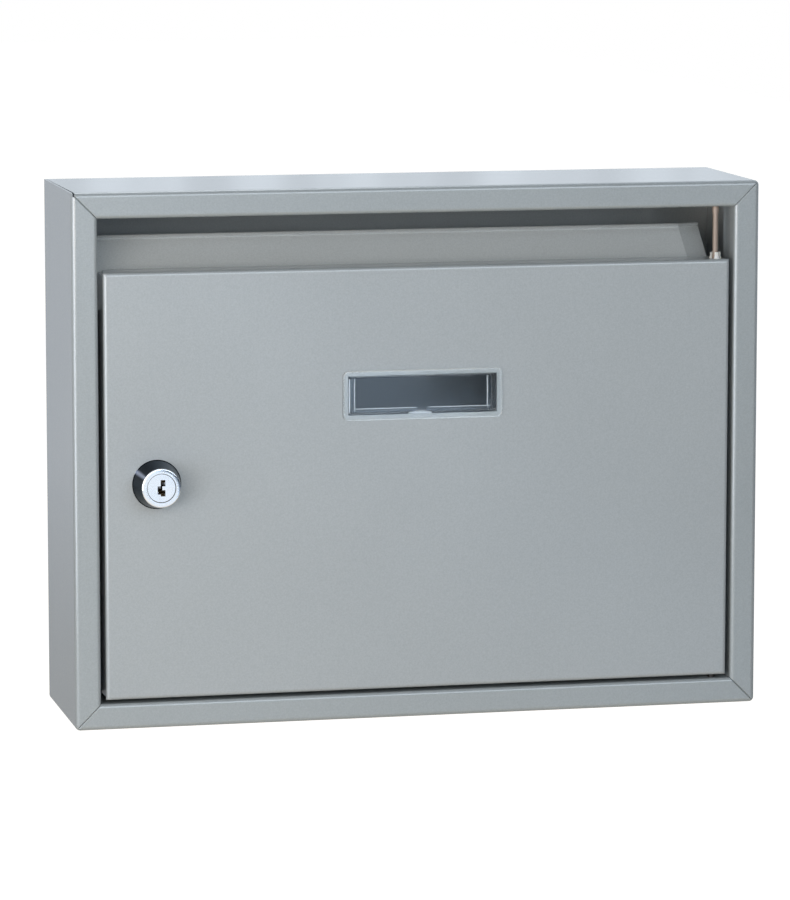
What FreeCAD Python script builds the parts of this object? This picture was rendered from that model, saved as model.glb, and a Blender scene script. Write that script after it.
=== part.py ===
import FreeCAD, Part
import math
import os

# A wall mailbox folded from painted sheet steel: a wrapped housing with mitred front
# flanges, a pan closing the back, a hinged front door under an open letter slot, a
# deflector behind the slot, a clear name holder and a cam lock.
# Millimetres. X to the right, Y from the front to the wall, Z up.
# The origin is the middle of the back face, which lies on the wall.

# Overall size of the box
WIDTH = 320.0
HEIGHT = 244.0
DEPTH = 80.0

# Sheet steel and the inside radii of its bends
SHEET = 0.8
CORNER_IN = 1.4
EDGE_IN = 1.2
LIP_IN = 1.0
DOOR_IN = 0.8
PAN_IN = 0.4
BAFFLE_IN = 0.8

# Housing: front flanges, the lips turned back from them, the mitres and the seam
FLANGE = 11.8
LIP_DEPTH = 18.0
MITRE_GAP = 0.15
MITRE_VEE = 0.45
SEAM_FRONT = 0.8
SEAM_REAR = 0.2

# Back pan and its four wall screw holes
PAN_FLANGE = 12.0
PAN_NOTCH = 2.4
MOUNT_SPACING_X = 220.0
MOUNT_SPACING_Z = 150.0
MOUNT_HOLE_D = 7.0

# Door pan and the gaps round it
SLOT_HEIGHT = 24.3
GAP_LOCK = 2.4
GAP_HINGE = 2.2
GAP_BOTTOM = 1.8
DOOR_DEPTH = 16.0
DOOR_RELIEF = 1.2
DOOR_TRIM = 5.0

# Hinge rod, and the nylon bushes that carry the door on it
ROD_D = 2.6
ROD_INSET = 5.5
ROD_BACK = 5.2
ROD_TOP = 3.0
ROD_STOP_D = 3.2
ROD_STOP_H = 3.0
ROD_LIP_PLAY = 0.1
BUSH_RUN_PLAY = 0.05
BUSH_FIT = 0.05
BUSH_AXIAL_PLAY = 0.1
BUSH_SLEEVE_D = 4.8
BUSH_COLLAR_D = 6.8
BUSH_COLLAR_H = 1.7
BUSH_PROUD = 0.2
BUSH_FINGER_H = 3.0
BUSH_BARB_D = 5.6
BUSH_BARB_H = 1.4
BUSH_SPLIT = 1.9

# Deflector behind the slot
BAFFLE_PLAY = 0.9
BAFFLE_LEG = 16.0
BAFFLE_BEND_DROP = 2.4
BAFFLE_TOP_DROP = 10.8
BAFFLE_RUN = 11.3
BAFFLE_HEM = 1.0
BAFFLE_TAB = 14.0
BAFFLE_END_GAP = 2.0
BAFFLE_ROD_LAP = 1.6
BAFFLE_WING = 10.6
BAFFLE_WING_LEAN = 2.0
BAFFLE_WING_TURN = 22.0

# Clear name holder, pressed into a window in the door
NAME_SHIFT = 0.7
NAME_DROP = 58.5
NAME_WIDTH = 74.4
NAME_HEIGHT = 22.8
NAME_PROUD = 1.5
NAME_CORNER_R = 2.6
NAME_EDGE = 0.6
NAME_BORDER = 2.5
NAME_WALL = 1.0
NAME_POCKET = 6.4
NAME_SIDE_LIP = 3.1
NAME_BOTTOM_LIP = 3.6
NAME_LIP_GAP = 4.2
NAME_LIP_T = 0.9
NAME_THUMB_R = 5.5
NAME_FIT = 0.15
NAME_BARB = 0.6
NAME_BARB_L = 2.4

# Cam lock
LOCK_INSET = 23.6
LOCK_RISE = 1.05
COLLAR_H = 13.0
COLLAR_BASE_D = 22.4
COLLAR_FACE_D = 17.8
COLLAR_RIM = 0.5
BARREL_D = 18.0
BARREL_FLAT = 16.0
BARREL_FIT = 0.15
LOCK_LIP_GAP = 1.0
PLUG_HEAD_D = 12.7
PLUG_HEAD_L = 3.6
PLUG_SET = 0.4
PLUG_D = 11.6
PLUG_PLAY = 0.05
PLUG_END_PLAY = 0.1
SHANK = 8.0
SHANK_FIT = 0.05
SHANK_SHORT = 0.3
KEY_TOP = 3.7
KEY_JOG = 0.9
KEY_WIDTH = 2.1
KEY_STEP = 0.7
KEY_DEPTH = 20.0
WAFER_COUNT = 5
WAFER_PITCH = 2.6
WAFER_START = 5.6
WAFER_T = 1.0
WAFER_WIDTH = 7.2
WAFER_SLOT_PLAY = 0.1
WAFER_CUT_IN = 0.2
WAFER_WINDOW_W = 3.4
WAFER_WINDOW_H = 5.0
WAFER_STEP = 0.35
GROOVE_WIDTH = 4.0
GROOVE_DEPTH = 1.1
LUG_ANGLE = 30.0
LUG_DEPTH = 1.6
TURN = 90.0
STOP_PLAY = 2.0
STOP_T = 1.0
TOOTH_WASHER_D = 24.0
TOOTH_WASHER_T = 0.8
TOOTH_WASHER_PLAY = 0.3
NUT_FLATS = 22.0
NUT_T = 4.5
THREAD_FIT = 0.05
CAM_T = 2.0
CAM_HEAD_D = 17.0
CAM_WIDTH = 14.0
CAM_HOOK = 6.5
SCREW_D = 5.0
SCREW_L = 9.0
SCREW_HEAD_FLATS = 8.0
SCREW_HEAD_H = 3.4
SPRING_WASHER_D = 9.2
SPRING_WASHER_T = 1.0
SPRING_WASHER_PLAY = 0.3
SPRING_WASHER_SLIT = 1.0

# Cutters run this far past the faces they open
OVER = 1.0

# Places that several pieces share
V = FreeCAD.Vector
ALONG_X = V(1, 0, 0)
ALONG_Y = V(0, 1, 0)
ALONG_Z = V(0, 0, 1)
FRONT = -DEPTH
INSIDE_X = WIDTH / 2 - SHEET
INSIDE_Z = HEIGHT / 2 - SHEET
OPEN_X = WIDTH / 2 - FLANGE
OPEN_Z = HEIGHT / 2 - FLANGE
DOOR_LEFT = GAP_LOCK - OPEN_X
DOOR_RIGHT = OPEN_X - GAP_HINGE
DOOR_BOTTOM = GAP_BOTTOM - OPEN_Z
DOOR_TOP = OPEN_Z - SLOT_HEIGHT
DOOR_REAR = FRONT + DOOR_DEPTH
ROD_X = DOOR_RIGHT - ROD_INSET
ROD_Y = FRONT + ROD_BACK
NAME_X = (DOOR_LEFT + DOOR_RIGHT) / 2 + NAME_SHIFT
NAME_Z = DOOR_TOP - NAME_DROP
LOCK_X = DOOR_LEFT + LOCK_INSET
LOCK_Z = (DOOR_BOTTOM + DOOR_TOP) / 2 + LOCK_RISE
LOCK_FACE = FRONT - COLLAR_H
CAM_FRONT = FRONT + LIP_DEPTH + LOCK_LIP_GAP
STOP_FRONT = CAM_FRONT - STOP_T
BARREL_END = STOP_FRONT - PLUG_END_PLAY
CAM_REAR = CAM_FRONT + CAM_T
SCREW_SEAT = CAM_REAR + SPRING_WASHER_T
NEAR = 1e-4


def box(x0, x1, y0, y1, z0, z1):
    """Block between two corners."""
    return Part.makeBox(x1 - x0, y1 - y0, z1 - z0, V(x0, y0, z0))


def slab(half_x, half_z, y0, y1):
    """Block centred on the box's middle line."""
    return box(-half_x, half_x, y0, y1, -half_z, half_z)


def rod_y(diameter, y0, y1, x=LOCK_X, z=LOCK_Z):
    """Round bar from front to back, on the lock's axis unless placed."""
    return Part.makeCylinder(diameter / 2, y1 - y0, V(x, y0, z), ALONG_Y)


def rod_z(diameter, z0, z1):
    """Upright round bar on the hinge's axis."""
    return Part.makeCylinder(diameter / 2, z1 - z0, V(ROD_X, ROD_Y, z0), ALONG_Z)


def edges_on(shape, test):
    """Edges whose two ends both satisfy a test on the point."""
    return [e for e in shape.Edges if all(test(v.Point) for v in e.Vertexes)]


def round_outline(shape, y, radius):
    """Round the edges that lie in one upright plane."""
    return shape.makeFillet(radius, edges_on(shape, lambda p: abs(p.y - y) < NEAR))


def wrapped_block(half_x, half_z, y0, y1, corner, edge):
    """Block with three rounded lengthwise corners, the top left one left sharp for the seam."""
    block = slab(half_x, half_z, y0, y1)
    bent = [e for e in block.Edges if abs(e.tangentAt(e.FirstParameter).y) > 1 - NEAR]
    bent = [e for e in bent if not (e.CenterOfMass.x < 0 and e.CenterOfMass.z > 0)]
    return round_outline(block.makeFillet(corner, bent), y0, edge)


def strip_face(points, x):
    """Section of a bent strip at one X: a line of (y, z) points thickened to its right."""
    steps = [(b[0] - a[0], b[1] - a[1]) for a, b in zip(points, points[1:])]
    normals = [(dz / math.hypot(dy, dz), -dy / math.hypot(dy, dz)) for dy, dz in steps]
    far = []
    for i, (y, z) in enumerate(points):
        n0 = normals[max(i - 1, 0)]
        n1 = normals[min(i, len(normals) - 1)]
        share = SHEET / (1 + n0[0] * n1[0] + n0[1] * n1[1])
        far.append((y + share * (n0[0] + n1[0]), z + share * (n0[1] + n1[1])))
    ring = [V(x, y, z) for y, z in points + far[::-1]]
    return Part.Face(Part.makePolygon(ring + ring[:1]))


def leaning(section, foot_z, lean):
    """The same section leant to the left by a share of each point's height above its foot."""
    ring = [V(v.X - lean * (v.Z - foot_z), v.Y, v.Z) for v in section.OuterWire.OrderedVertexes]
    return Part.Face(Part.makePolygon(ring + ring[:1]))


def sector(radius_in, radius_out, y0, y1, middle, spread):
    """Part of a ring round the lock's axis; the angle runs from up towards the right."""
    ring = Part.makeCylinder(radius_out, y1 - y0, V(), ALONG_Z, spread)
    ring = ring.cut(Part.makeCylinder(radius_in, y1 - y0))
    ring.rotate(V(), ALONG_Z, middle - spread / 2 - 90)
    ring.rotate(V(), ALONG_X, -90)
    ring.translate(V(LOCK_X, y0, LOCK_Z))
    return ring


def hexagon(flats, y0, y1):
    """Six-sided bar on the lock's axis."""
    radius = flats / math.sqrt(3)
    turns = [math.radians(60 * i) for i in range(7)]
    ring = [V(LOCK_X + radius * math.cos(t), y0, LOCK_Z + radius * math.sin(t)) for t in turns]
    return Part.Face(Part.makePolygon(ring)).extrude(V(0, y1 - y0, 0))


def save(node, shape):
    shape.exportStep("parts/" + node + ".step")


def make_front_side(length, half):
    """One front flange with its lip, as the top one lies, cut to the mitres at both ends."""
    join = half - CORNER_IN - SHEET
    inner = half - FLANGE
    section = [(FRONT + LIP_DEPTH, inner), (FRONT, inner), (FRONT, join)]
    side = strip_face(section, -length / 2).extrude(V(length, 0, 0))
    for grow, radius in ((0, LIP_IN + SHEET), (SHEET, LIP_IN)):
        bend = edges_on(side, lambda p: abs(p.y - FRONT - grow) < NEAR and abs(p.z - inner - grow) < NEAR)
        bend = [e for e in bend if e.Length > length - NEAR]
        side = side.makeFillet(radius, bend)
    outer_x = length / 2
    inner_x = outer_x - FLANGE - OVER
    inner_z = half - FLANGE - OVER
    corners = ((-outer_x, half), (outer_x, half), (inner_x, inner_z), (-inner_x, inner_z))
    ring = [V(x, FRONT - OVER, z) for x, z in corners]
    mitred = Part.Face(Part.makePolygon(ring + ring[:1])).extrude(V(0, LIP_DEPTH + 2 * OVER, 0))
    return side.common(mitred)


def make_housing():
    """The wrap: walls, mitred front flanges and the lips turned back round the opening."""
    walls = wrapped_block(WIDTH / 2, HEIGHT / 2, FRONT, 0, CORNER_IN + SHEET, EDGE_IN + SHEET)
    hollow = wrapped_block(INSIDE_X, INSIDE_Z, FRONT + SHEET, OVER, CORNER_IN, EDGE_IN)
    join = CORNER_IN + SHEET
    opening = slab(WIDTH / 2 - join, HEIGHT / 2 - join, FRONT - OVER, FRONT + SHEET + OVER)
    shell = walls.cut(hollow).cut(opening)
    sides = []
    for quarter, (length, half) in enumerate(((WIDTH, HEIGHT / 2), (HEIGHT, WIDTH / 2)) * 2):
        side = make_front_side(length, half)
        side.rotate(V(), ALONG_Y, 90 * quarter)
        sides.append(side)
    shell = shell.fuse(sides).removeSplitter()

    # A saw-thin mitre with eased edges runs in from each corner, short of the wall's own bend
    start = join * math.sqrt(2) - CORNER_IN + MITRE_GAP
    reach = FLANGE * math.sqrt(2) + OVER
    vee = ((FRONT - MITRE_VEE, 0), (FRONT, MITRE_VEE), (FRONT + MITRE_VEE, 0), (FRONT, -MITRE_VEE))
    ring = [V(start, y, z) for y, z in vee]
    groove = Part.Face(Part.makePolygon(ring + ring[:1])).extrude(V(reach - start, 0, 0))
    saw_cut = box(start, reach, FRONT - OVER, FRONT + LIP_DEPTH + OVER, -MITRE_GAP / 2, MITRE_GAP / 2)
    for side_x in (-1, 1):
        for side_z in (-1, 1):
            for cutter in (saw_cut, groove):
                mitre = cutter.rotated(V(), ALONG_Y, math.degrees(math.atan2(side_z, -side_x)))
                shell = shell.cut(mitre.translated(V(side_x * WIDTH / 2, 0, side_z * HEIGHT / 2)))

    # The strip's ends meet where the top butts against the left wall, in a seam that narrows to the back
    left = SHEET - WIDTH / 2
    seam = ((left, FRONT - OVER), (left + SEAM_FRONT, FRONT - OVER), (left + SEAM_REAR, OVER), (left, OVER))
    ring = [V(x, y, INSIDE_Z - OVER) for x, y in seam]
    slit = Part.Face(Part.makePolygon(ring + ring[:1])).extrude(V(0, 0, SHEET + 2 * OVER))
    holes = rod_z(ROD_D + 2 * ROD_LIP_PLAY, -OPEN_Z - SHEET - OVER, OPEN_Z + SHEET + OVER)
    return shell.cut(slit).cut(holes)


def make_back_pan():
    """Pan that closes the back, its flanges against the walls and notched at the corners."""
    pan = round_outline(slab(INSIDE_X, INSIDE_Z, -PAN_FLANGE, 0), 0, PAN_IN + SHEET)
    hollow = slab(INSIDE_X - SHEET, INSIDE_Z - SHEET, -PAN_FLANGE - OVER, -SHEET)
    pan = pan.cut(round_outline(hollow, -SHEET, PAN_IN))
    for side_x in (-1, 1):
        for side_z in (-1, 1):
            notch = slab(PAN_NOTCH, PAN_NOTCH, -PAN_FLANGE - OVER, OVER)
            notch.translate(V(side_x * INSIDE_X, 0, side_z * INSIDE_Z))
            hole_x = side_x * MOUNT_SPACING_X / 2
            hole_z = side_z * MOUNT_SPACING_Z / 2
            hole = rod_y(MOUNT_HOLE_D, -SHEET - OVER, OVER, hole_x, hole_z)
            pan = pan.cut(notch).cut(hole)
    return pan


def make_baffle():
    """Deflector: an upright leg between the walls and a slope with a folded upper edge."""
    sweep = math.hypot(ROD_INSET, DOOR_DEPTH - ROD_BACK)
    leg_y = ROD_Y + sweep + BAFFLE_PLAY
    bend = (leg_y, DOOR_TOP - BAFFLE_BEND_DROP)
    foot = (leg_y, bend[1] - BAFFLE_LEG)
    crest = (leg_y + BAFFLE_RUN, OPEN_Z - BAFFLE_TOP_DROP)
    slope = math.hypot(crest[0] - bend[0], crest[1] - bend[1])
    along = ((crest[0] - bend[0]) / slope, (crest[1] - bend[1]) / slope)
    hem_end = (crest[0] - BAFFLE_HEM * along[0], crest[1] - BAFFLE_HEM * along[1])
    left = BAFFLE_END_GAP - INSIDE_X
    fold = ROD_X + BAFFLE_ROD_LAP - BAFFLE_WING

    leg = strip_face([foot, bend], -INSIDE_X).extrude(V(2 * INSIDE_X, 0, 0))
    plate = strip_face([foot, bend, crest], left).extrude(V(fold - left, 0, 0))
    bend_edges = edges_on(plate, lambda p: abs(p.z - bend[1]) < SHEET and abs(p.y - bend[0]) < 2 * SHEET)
    bend_edges = [e for e in bend_edges if e.Length > fold - left - NEAR]
    bend_edges.sort(key=lambda e: e.CenterOfMass.y)
    plate = plate.makeFillet(BAFFLE_IN + SHEET, bend_edges[:1])
    inner = [e for e in plate.Edges if e.Length > fold - left - NEAR]
    inner = [e for e in inner if abs(e.CenterOfMass.z - bend[1]) < SHEET]
    inner = [e for e in inner if abs(e.CenterOfMass.y - bend_edges[1].CenterOfMass.y) < NEAR]
    plate = plate.makeFillet(BAFFLE_IN, inner)

    # The wing at the hinge end turns back, and the hem runs on along it
    wing_way = V(BAFFLE_WING, BAFFLE_WING * math.tan(math.radians(BAFFLE_WING_TURN)), 0)
    lean = BAFFLE_WING_LEAN / (crest[1] - bend[1])
    wing = leaning(strip_face([bend, crest], fold), bend[1], lean).extrude(wing_way)
    hem = strip_face([crest, hem_end], left).extrude(V(fold - left, 0, 0))
    hem_wing = leaning(strip_face([crest, hem_end], fold), bend[1], lean).extrude(wing_way)
    bead = Part.makeCylinder(SHEET, fold - left, V(left, crest[0], crest[1]), ALONG_X)
    turn = V(fold - BAFFLE_WING_LEAN, crest[0], crest[1])
    bead_wing = Part.makeCylinder(SHEET, wing_way.Length, turn, wing_way)
    around = ((bend[0] - OVER, bend[1]), (crest[0] + OVER, bend[1]),
              (crest[0] + OVER, OPEN_Z), (bend[0] - OVER, OPEN_Z))
    ring = [V(fold, y, z) for y, z in around]
    beyond = leaning(Part.Face(Part.makePolygon(ring + ring[:1])), bend[1], lean)
    plate = plate.fuse([hem, bead]).cut(beyond.extrude(V(BAFFLE_WING, 0, 0)))
    baffle = plate.fuse([leg, wing, hem_wing, bead_wing])

    # Tabs turned back along both side walls carry the welds
    for side in (-1, 1):
        tab = box(0, SHEET, leg_y, leg_y + BAFFLE_TAB, foot[1], bend[1])
        tab.translate(V(INSIDE_X - SHEET if side > 0 else -INSIDE_X, 0, 0))
        baffle = baffle.fuse(tab)
    return baffle.removeSplitter()


def make_door():
    """Door pan with four flanges, holes for the bushes, the lock and the name holder."""
    pan = box(DOOR_LEFT, DOOR_RIGHT, FRONT, DOOR_REAR, DOOR_BOTTOM, DOOR_TOP)
    pan = round_outline(pan, FRONT, DOOR_IN + SHEET)
    hollow = box(DOOR_LEFT + SHEET, DOOR_RIGHT - SHEET, FRONT + SHEET, DOOR_REAR + OVER,
                 DOOR_BOTTOM + SHEET, DOOR_TOP - SHEET)
    pan = pan.cut(round_outline(hollow, FRONT + SHEET, DOOR_IN))

    relief_y = FRONT + DOOR_IN + SHEET + DOOR_RELIEF
    for x in (DOOR_LEFT, DOOR_RIGHT):
        inward = 1 if x == DOOR_LEFT else -1
        for z in (DOOR_BOTTOM, DOOR_TOP):
            relief = slab(DOOR_RELIEF, DOOR_RELIEF, relief_y, DOOR_REAR + OVER)
            relief.translate(V(x, 0, z))
            pan = pan.cut(relief)
        corner = [V(x, DOOR_REAR), V(x + inward * DOOR_TRIM, DOOR_REAR), V(x, DOOR_REAR - DOOR_TRIM)]
        trim = Part.Face(Part.makePolygon(corner + corner[:1])).extrude(V(0, 0, SHEET))
        for z in (DOOR_BOTTOM, DOOR_TOP - SHEET):
            pan = pan.cut(trim.translated(V(0, 0, z)))

    bores = rod_z(BUSH_SLEEVE_D + 2 * BUSH_FIT, DOOR_BOTTOM - OVER, DOOR_TOP + OVER)
    lock_hole = rod_y(BARREL_D + 2 * BARREL_FIT, FRONT - OVER, FRONT + SHEET + OVER)
    half_flat = BARREL_FLAT / 2 + BARREL_FIT
    lock_hole = lock_hole.common(slab(half_flat, BARREL_D, FRONT - OVER, FRONT + SHEET + OVER).translated(
        V(LOCK_X, 0, LOCK_Z)))
    half_x = NAME_WIDTH / 2 - NAME_BORDER
    half_z = NAME_HEIGHT / 2 - NAME_BORDER
    window = slab(half_x, half_z, FRONT - OVER, FRONT + SHEET + OVER).translated(V(NAME_X, 0, NAME_Z))
    return pan.cut(bores).cut(lock_hole).cut(window)


def make_rod():
    """Hinge rod from the floor of the wrap through both lips, with two swaged stops between them."""
    rod = rod_z(ROD_D, -INSIDE_Z, OPEN_Z + SHEET + ROD_TOP)
    top = OPEN_Z - BUSH_AXIAL_PLAY
    upper_stop = rod_z(ROD_STOP_D, top - ROD_STOP_H, top)
    lower_stop = rod_z(ROD_STOP_D, ROD_LIP_PLAY - OPEN_Z, DOOR_BOTTOM - BUSH_PROUD - BUSH_AXIAL_PLAY)
    return rod.fuse([upper_stop, lower_stop]).removeSplitter()


def make_lower_bush():
    """Collared bush dropped into the door's bottom flange; it stands on the rod's lower stop."""
    seat = DOOR_BOTTOM + SHEET
    foot = DOOR_BOTTOM - BUSH_PROUD
    bush = rod_z(BUSH_COLLAR_D, seat, seat + BUSH_COLLAR_H).fuse(rod_z(BUSH_SLEEVE_D, foot, seat))
    return bush.cut(rod_z(ROD_D + 2 * BUSH_RUN_PLAY, foot - OVER, seat + BUSH_COLLAR_H + OVER))


def make_upper_bush():
    """Snap bush: collar under the door's top flange, sleeve through it, split fingers above it."""
    flange_z = DOOR_TOP - SHEET
    foot = flange_z - BUSH_COLLAR_H
    collar = rod_z(BUSH_COLLAR_D, foot, flange_z)
    top = flange_z + SHEET + BUSH_FINGER_H
    sleeve = rod_z(BUSH_SLEEVE_D, flange_z, top)
    barb_z = flange_z + SHEET + BUSH_FIT
    barb = Part.makeCone(BUSH_BARB_D / 2, BUSH_SLEEVE_D / 2, BUSH_BARB_H, V(ROD_X, ROD_Y, barb_z), ALONG_Z)
    bush = collar.fuse([sleeve, barb])
    for half_x, half_y in ((BUSH_SPLIT / 2, BUSH_BARB_D), (BUSH_BARB_D, BUSH_SPLIT / 2)):
        split = box(-half_x, half_x, -half_y, half_y, barb_z, top + OVER)
        bush = bush.cut(split.rotated(V(), ALONG_Z, 45).translated(V(ROD_X, ROD_Y, 0)))
    return bush.cut(rod_z(ROD_D + 2 * BUSH_RUN_PLAY, foot - OVER, top + OVER))


def make_name_holder():
    """Clear moulding: a front plate, a card pocket through the door and lips at its back."""
    front = FRONT - NAME_PROUD
    plate = slab(NAME_WIDTH / 2, NAME_HEIGHT / 2, front, FRONT)
    upright = [e for e in plate.Edges if abs(e.tangentAt(e.FirstParameter).y) > 1 - NEAR]
    plate = plate.makeFillet(NAME_CORNER_R, upright)
    plate = plate.makeChamfer(NAME_EDGE, edges_on(plate, lambda p: abs(p.y - front) < NEAR))

    half_x = NAME_WIDTH / 2 - NAME_BORDER - NAME_FIT
    half_z = NAME_HEIGHT / 2 - NAME_BORDER - NAME_FIT
    rear = FRONT + NAME_POCKET
    in_x = half_x - NAME_WALL
    in_z = half_z - NAME_WALL
    pocket = slab(half_x, half_z, FRONT, rear).cut(slab(in_x, in_z, FRONT, rear + OVER))

    # Lips at the back: one down each side and a broken one along the bottom
    lips = []
    for side in (-1, 1):
        upright_lip = box(in_x - NAME_SIDE_LIP, in_x, rear - NAME_LIP_T, rear, -in_z, in_z)
        low_lip = box(NAME_LIP_GAP / 2, in_x, rear - NAME_LIP_T, rear, -in_z, NAME_BOTTOM_LIP - in_z)
        barb = Part.makePolygon([V(half_x, FRONT + SHEET, 0), V(half_x + NAME_BARB, FRONT + SHEET, 0),
                                 V(half_x, FRONT + SHEET + NAME_BARB_L, 0), V(half_x, FRONT + SHEET, 0)])
        barb = Part.Face(barb).extrude(V(0, 0, in_z)).translated(V(0, 0, -in_z / 2))
        for piece in (upright_lip, low_lip, barb):
            lips.append(piece if side > 0 else piece.mirror(V(), ALONG_X))
    thumb = Part.makeCylinder(NAME_THUMB_R, NAME_WALL + 2 * OVER, V(0, rear, -half_z - OVER), ALONG_Z)
    holder = plate.fuse([pocket] + lips).cut(thumb).removeSplitter()
    return holder.translated(V(NAME_X, 0, NAME_Z))


def make_lock_body():
    """Tapered collar outside the door and a flatted barrel behind it, bored for the plug."""
    rim = Part.makeCone(COLLAR_FACE_D / 2 - COLLAR_RIM, COLLAR_FACE_D / 2, COLLAR_RIM,
                        V(LOCK_X, LOCK_FACE, LOCK_Z), ALONG_Y)
    collar = Part.makeCone(COLLAR_FACE_D / 2, COLLAR_BASE_D / 2, COLLAR_H - COLLAR_RIM,
                           V(LOCK_X, LOCK_FACE + COLLAR_RIM, LOCK_Z), ALONG_Y)
    barrel = rod_y(BARREL_D, FRONT, BARREL_END)
    keep = slab(BARREL_FLAT / 2, BARREL_D, FRONT, BARREL_END).translated(V(LOCK_X, 0, LOCK_Z))
    lug_in = BARREL_FLAT / 2 - LUG_DEPTH
    lug = sector(lug_in, BARREL_FLAT / 2, BARREL_END, CAM_FRONT - PLUG_END_PLAY, 0, LUG_ANGLE)
    body = rim.fuse([collar, barrel.common(keep), lug])

    head_end = LOCK_FACE + PLUG_SET + PLUG_HEAD_L + PLUG_PLAY
    body = body.cut(rod_y(PLUG_HEAD_D + 2 * PLUG_PLAY, LOCK_FACE - OVER, head_end))
    body = body.cut(rod_y(PLUG_D + 2 * PLUG_PLAY, LOCK_FACE, BARREL_END + OVER))

    # Two grooves along the bore take the wafers' ends when the key is out
    groove_end = LOCK_FACE + WAFER_START + WAFER_COUNT * WAFER_PITCH
    reach = PLUG_D / 2 + GROOVE_DEPTH
    groove = slab(GROOVE_WIDTH / 2, reach, head_end, groove_end).translated(V(LOCK_X, 0, LOCK_Z))
    return body.cut(groove).removeSplitter()


def make_plug():
    """Turning plug: a stepped cylinder with a crooked keyway, wafer slots and a square end."""
    head_front = LOCK_FACE + PLUG_SET
    head_end = head_front + PLUG_HEAD_L
    shank_end = CAM_REAR - SHANK_SHORT
    plug = rod_y(PLUG_HEAD_D, head_front, head_end).fuse(rod_y(PLUG_D, head_end, STOP_FRONT))
    shank = slab(SHANK / 2, SHANK / 2, STOP_FRONT, shank_end).translated(V(LOCK_X, 0, LOCK_Z))
    plug = plug.fuse(shank)

    key_end = head_front + KEY_DEPTH
    steps = ((KEY_STEP, KEY_JOG, KEY_TOP),
             (-KEY_STEP, -KEY_TOP + KEY_JOG, KEY_JOG),
             (KEY_STEP, -KEY_TOP, -KEY_JOG))
    for shift, low, high in steps:
        way = box(shift - KEY_WIDTH / 2, shift + KEY_WIDTH / 2, head_front - OVER, key_end, low, high)
        plug = plug.cut(way.translated(V(LOCK_X, 0, LOCK_Z)))
    for i in range(WAFER_COUNT):
        y = LOCK_FACE + WAFER_START + i * WAFER_PITCH
        half_slot = WAFER_WIDTH / 2 + WAFER_SLOT_PLAY
        slot = slab(half_slot, PLUG_D, y - WAFER_SLOT_PLAY, y + WAFER_T + WAFER_SLOT_PLAY)
        plug = plug.cut(slot.translated(V(LOCK_X, 0, LOCK_Z)))
    return plug.cut(rod_y(SCREW_D + 2 * THREAD_FIT, SCREW_SEAT - SCREW_L - OVER, shank_end + OVER))


def make_wafers():
    """Wafers drawn in level with the plug's surface, each with its window at its own height."""
    wafers = []
    for i in range(WAFER_COUNT):
        y = LOCK_FACE + WAFER_START + i * WAFER_PITCH
        disc = rod_y(PLUG_D - 2 * WAFER_CUT_IN, y, y + WAFER_T, 0, 0)
        wafer = disc.common(slab(WAFER_WIDTH / 2, PLUG_D, y, y + WAFER_T))
        window = slab(WAFER_WINDOW_W / 2, WAFER_WINDOW_H / 2, y - OVER, y + WAFER_T + OVER)
        rise = ((i * 2) % WAFER_COUNT - WAFER_COUNT // 2) * WAFER_STEP
        wafers.append(wafer.cut(window.translated(V(0, 0, rise))).translated(V(LOCK_X, 0, LOCK_Z)))
    return Part.makeCompound(wafers)


def make_stop_washer():
    """Washer keyed to the plug, with a cut-out that lets it pass the lug by one quarter turn."""
    washer = rod_y(BARREL_FLAT, STOP_FRONT, CAM_FRONT)
    spread = LUG_ANGLE + TURN + 2 * STOP_PLAY
    cut = sector(BARREL_FLAT / 2 - LUG_DEPTH - PLUG_END_PLAY, BARREL_D, STOP_FRONT - OVER, CAM_FRONT + OVER,
                 -TURN / 2, spread)
    hole = slab(SHANK / 2 + SHANK_FIT, SHANK / 2 + SHANK_FIT, STOP_FRONT - OVER, CAM_FRONT + OVER)
    return washer.cut(cut).cut(hole.translated(V(LOCK_X, 0, LOCK_Z)))


def make_cam():
    """Flat cam hanging down from the plug's square end, long enough to hook behind the lip."""
    length = LOCK_X + OPEN_X + SHEET + CAM_HOOK
    tip_z = LOCK_Z - length + CAM_WIDTH / 2
    cam = rod_y(CAM_HEAD_D, CAM_FRONT, CAM_REAR)
    arm = box(LOCK_X - CAM_WIDTH / 2, LOCK_X + CAM_WIDTH / 2, CAM_FRONT, CAM_REAR, tip_z, LOCK_Z)
    cam = cam.fuse([arm, rod_y(CAM_WIDTH, CAM_FRONT, CAM_REAR, LOCK_X, tip_z)])
    hole = slab(SHANK / 2 + SHANK_FIT, SHANK / 2 + SHANK_FIT, CAM_FRONT - OVER, CAM_REAR + OVER)
    return cam.cut(hole.translated(V(LOCK_X, 0, LOCK_Z))).removeSplitter()


def make_ring(outer_d, inner_d, y0, y1):
    """Flat washer on the lock's axis."""
    return rod_y(outer_d, y0, y1).cut(rod_y(inner_d, y0 - OVER, y1 + OVER))


def make_lock_nut():
    """Hexagon nut that clamps the lock to the door."""
    y0 = FRONT + SHEET + TOOTH_WASHER_T
    nut = hexagon(NUT_FLATS, y0, y0 + NUT_T)
    return nut.cut(rod_y(BARREL_D + 2 * THREAD_FIT, y0 - OVER, y0 + NUT_T + OVER))


def make_spring_washer():
    """Split washer under the cam screw's head."""
    ring = make_ring(SPRING_WASHER_D, SCREW_D + 2 * SPRING_WASHER_PLAY, CAM_REAR, SCREW_SEAT)
    slit = box(-SPRING_WASHER_SLIT / 2, SPRING_WASHER_SLIT / 2, CAM_REAR - OVER, SCREW_SEAT + OVER,
               0, SPRING_WASHER_D)
    return ring.cut(slit.translated(V(LOCK_X, 0, LOCK_Z)))


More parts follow.
